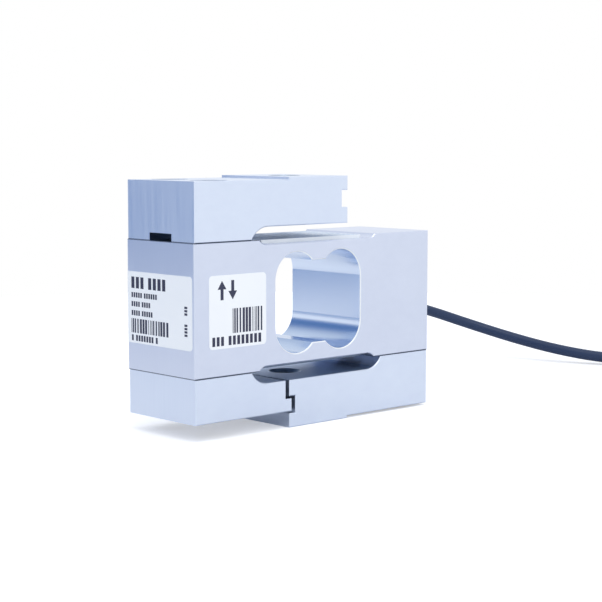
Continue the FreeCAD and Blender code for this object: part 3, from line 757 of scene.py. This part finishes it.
def add_print(name, shapes, corner, right, out, material):
    """Thin raised ink on a label, from its top left corner and the way that its lines run."""
    down = Vector((0, 0, -1))
    form = bmesh.new()
    for shape in shapes:
        flat = [corner + right * (x * MM) + down * (y * MM) for x, y in shape]
        low, high = ([form.verts.new(place + out * height) for place in flat]
                     for height in (-INK_SUNK, INK_PROUD))
        form.faces.new(high)
        form.faces.new(list(reversed(low)))
        side_faces(form, low, high)
    piece_of_form(name, form, material)


def make_front_print(material):
    """Two arrows, stripes and a line of dashes, in millimetres from the label's corner."""
    low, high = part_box("front_label")
    shapes = [arrow(2.6, 1.3, 2.7, 4.6, False), arrow(5.9, 1.3, 2.7, 4.6, True)]
    shapes += stripes(7.2, 8.1, 10.0, 5.9, 0.24)
    shapes += dashes(0.9, 14.6, 2.2, (3, 8))
    corner = Vector((low[0], low[1], high[2]))
    add_print("front_label_print", shapes, corner, Vector((1, 0, 0)), Vector((0, -1, 0)), material)


def make_end_print(material):
    """Lines of dashes and a band of stripes, in millimetres from the label's corner."""
    low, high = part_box("end_label")
    shapes = dashes(1.8, 1.3, 2.8, (3, 4), 0.44)
    shapes += dashes(1.8, 5.1, 1.25, (5, 6), 0.5)
    shapes += dashes(1.8, 7.3, 1.25, (4, 4), 0.5)
    shapes += dashes(1.8, 9.5, 1.25, (4, 5), 0.5)
    shapes += stripes(1.7, 11.5, 14.6, 3.5, 0.26)
    shapes += dashes(1.8, 15.5, 1.45, (1, 7, 1), 0.5)
    shapes += moved(turned(dashes(0, 0, 1.1, (3,), 0.5)), 22.4, 9.2)
    shapes += moved(turned(dashes(0, 0, 1.1, (4,), 0.5)), 22.4, 14.2)
    corner = Vector((low[0], high[1], high[2]))
    add_print("end_label_print", shapes, corner, Vector((0, -1, 0)), Vector((-1, 0, 0)), material)


# ---------------------------------------------------------------- threads and screws
def make_thread(name, arm, material):
    """The M8 thread as a helical ridge on the wall of the arm's bore, shallower at its ends."""
    low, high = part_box(arm)
    upper = arm == "upper_arm"
    start = (low[2] + ARM_RECESS if upper else low[2]) + THREAD_INSET
    end = (high[2] if upper else high[2] - ARM_RECESS) - THREAD_INSET
    steps = int((end - start) / THREAD_PITCH * THREAD_STEPS)
    form = bmesh.new()
    rings = []
    for step in range(steps + 1):
        angle = 2 * math.pi * step / THREAD_STEPS
        height = start + THREAD_PITCH * step / THREAD_STEPS
        from_end = min(step, steps - step)
        crest = THREAD_OUTER - THREAD_DEPTH * min(1.0, from_end / THREAD_FADE_STEPS)
        ring = []
        for radius, rise in ((THREAD_OUTER, -THREAD_FOOT), (crest, -THREAD_CREST),
                             (crest, THREAD_CREST), (THREAD_OUTER, THREAD_FOOT)):
            level = height + rise * THREAD_PITCH
            ring.append(form.verts.new((radius * math.cos(angle), radius * math.sin(angle), level)))
        rings.append(ring)
    for before, after in zip(rings, rings[1:]):
        side_faces(form, before, after)
    form.faces.new(rings[0])
    form.faces.new(list(reversed(rings[-1])))
    piece_of_form(name, form, material)


def add_bevel(thing, name, width, segments, degrees):
    """A bevel on the edges that turn by more than the angle."""
    bevel = thing.modifiers.new(name, "BEVEL")
    bevel.width = width
    bevel.segments = segments
    bevel.limit_method = "ANGLE"
    bevel.angle_limit = math.radians(degrees)


def round_edges(thing, width):
    """Break the sharp edges of a CAD piece by a small bevel."""
    weld = thing.modifiers.new("joined", "WELD")
    weld.merge_threshold = WELD_WITHIN
    add_bevel(thing, "edges", width, segments=2, degrees=40)


# ---------------------------------------------------------------- tie round the coil
def tie_path():
    """Points and outward directions round the coil's section, in the coil's (x, z) plane."""
    half_width = COIL_ROWS * CABLE_RADIUS + TIE_SLACK
    half_height = COIL_LAYERS * CABLE_RADIUS
    middle = Vector((COIL_MEAN_RADIUS, 0, TIE_THICKNESS + half_height))
    path = []
    for quarter in range(4):
        side_x = 1 if quarter in (0, 3) else -1
        side_z = 1 if quarter in (0, 1) else -1
        to_corner = (side_x * (half_width - TIE_CORNER), 0, side_z * (half_height - TIE_CORNER))
        centre = middle + Vector(to_corner)
        for step in range(TIE_CORNER_STEPS + 1):
            angle = math.radians(90 * quarter + 90 / TIE_CORNER_STEPS * step)
            out = Vector((math.cos(angle), 0, math.sin(angle)))
            path.append((centre + out * TIE_CORNER, out))
    return path


def make_tie(material):
    """A strap with a rounded section round the turns, its locking head and its trimmed end."""
    place = coil_matrix()
    form = bmesh.new()
    rings = []
    for point, out in tie_path():
        ring = []
        for proud, side in ((0, -1), (0, 1), (TIE_THICKNESS, 1), (TIE_THICKNESS, -1)):
            spot = point + out * proud + Vector((0, side * TIE_WIDTH / 2, 0))
            ring.append(form.verts.new(place @ spot))
        rings.append(ring)
    for before, after in zip(rings, rings[1:] + rings[:1]):
        side_faces(form, before, after)
    for length, width, height, across in TIE_BLOCKS:
        centre = Vector((COIL_MEAN_RADIUS + across, 0, LAYERS_TOP + TIE_THICKNESS + height / 2))
        size = Matrix.Diagonal((length, width, height, 1))
        bmesh.ops.create_cube(form, size=1.0, matrix=place @ Matrix.Translation(centre) @ size)
    piece = piece_of_form("coil_tie", form, material)
    add_bevel(piece, "rounding", TIE_ROUNDING, segments=3, degrees=50)
    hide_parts("cable_tie")
    return piece


make_camera()
make_world()
make_floor()
make_lamp("key", KEY_PLACE, KEY_TARGET, KEY_SIZE, KEY_POWER, KEY_COLOUR)
materials = make_materials()
dress(materials)
cable = make_cable()
cable.data.materials.append(materials["cable_jacket"])
tie = make_tie(materials["tie_plastic"])
make_front_print(materials["label_ink"])
make_end_print(materials["label_ink"])
make_thread("upper_thread", "upper_arm", materials["thread_shade_metal"])
make_thread("lower_thread", "lower_arm", materials["thread_shade_metal"])
for name in NODES:
    if "_screw_" in name:
        round_edges(NODES[name], SCREW_EDGE)

bpy.context.scene.view_settings.view_transform = "Standard"

bpy.context.view_layer.update()
